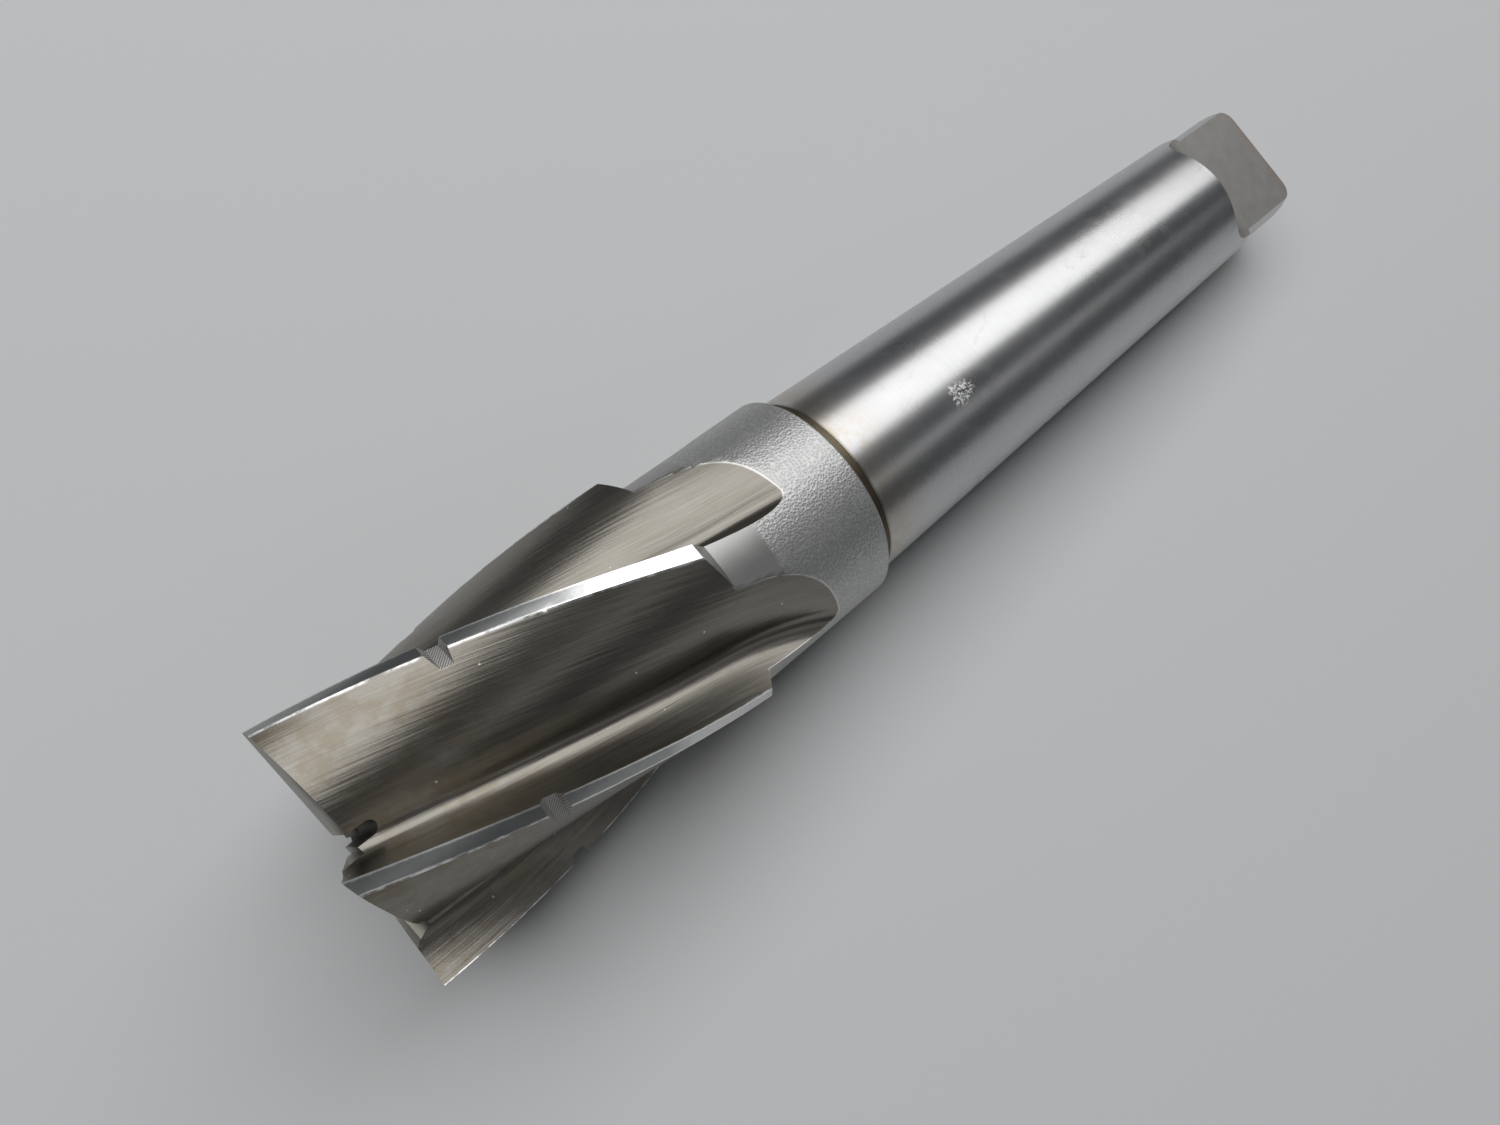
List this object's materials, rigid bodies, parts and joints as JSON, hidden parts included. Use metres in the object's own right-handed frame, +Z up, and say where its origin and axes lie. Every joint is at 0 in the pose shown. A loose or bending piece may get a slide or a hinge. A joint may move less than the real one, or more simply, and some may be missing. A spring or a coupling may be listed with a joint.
{
  "type": "taper shank end mill",
  "caption": "Helical end mill with chip-breaker notches in its teeth, a plain neck and a Morse taper shank ending in a drive tang.",
  "frame": {"origin": "centre of the bounding box's bottom face, on the surface that the tool lies on", "axes": "+X runs along the tool from the end teeth to the tang, with the tang end a little lower, and +Z is up"},
  "size_m": [0.2046, 0.0398, 0.0391],
  "materials": {
    "high_speed_steel": "ground flutes and lands, blasted neck",
    "weld_steel": "dull, heat tinted",
    "shank_steel": "cylindrically ground, worn satin"
  },
  "bodies": {
    "root": {"cutter_head": "high_speed_steel", "weld_seam": "weld_steel", "taper_shank": "shank_steel"}
  },
  "joints": []
}
